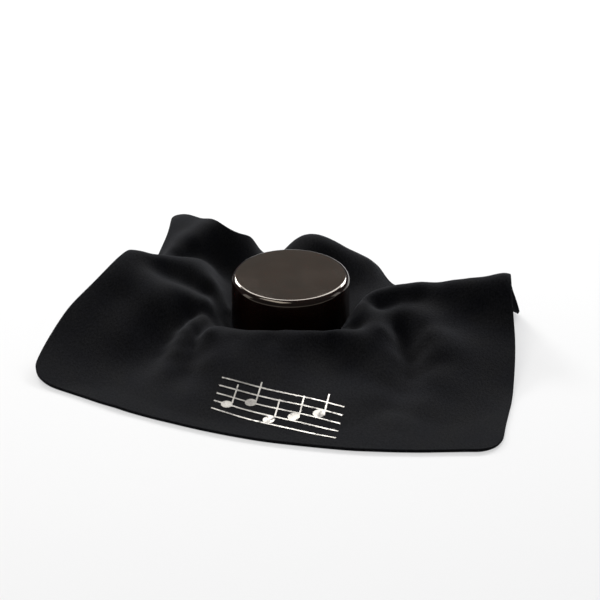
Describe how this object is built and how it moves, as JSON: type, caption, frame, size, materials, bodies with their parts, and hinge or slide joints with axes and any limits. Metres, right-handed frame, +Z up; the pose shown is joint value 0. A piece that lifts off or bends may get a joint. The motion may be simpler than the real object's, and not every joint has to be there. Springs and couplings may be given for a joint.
{
  "type": "bow rosin cake with wrapping cloth",
  "caption": "Round cake of bow rosin lying loose in a soft cloth that is gathered up around it in folds, with a foil print on its front panel.",
  "frame": {"origin": "on the table, below the middle of the rosin cake, at the underside of the cloth's seat", "axes": "+Z up along the cake's axis, -Y towards the front panel of the cloth that carries the print, +X to the right"},
  "size_m": [0.1596, 0.1338, 0.0224],
  "materials": {
    "rosin": "poured, glassy, very dark red-brown",
    "cloth": "matt black microfibre with a short suede nap",
    "foil": "thin hot-pressed silver foil"
  },
  "bodies": {
    "cloth": {"wrap_cloth": "cloth", "foil_print": "foil"},
    "cake": {"rosin_cake": "rosin"}
  },
  "joints": [
    {"name": "cake_lift", "type": "slide", "parent": "cloth", "child": "cake", "axis": [0, 0, 1], "range_m": [0, 0.04]}
  ]
}
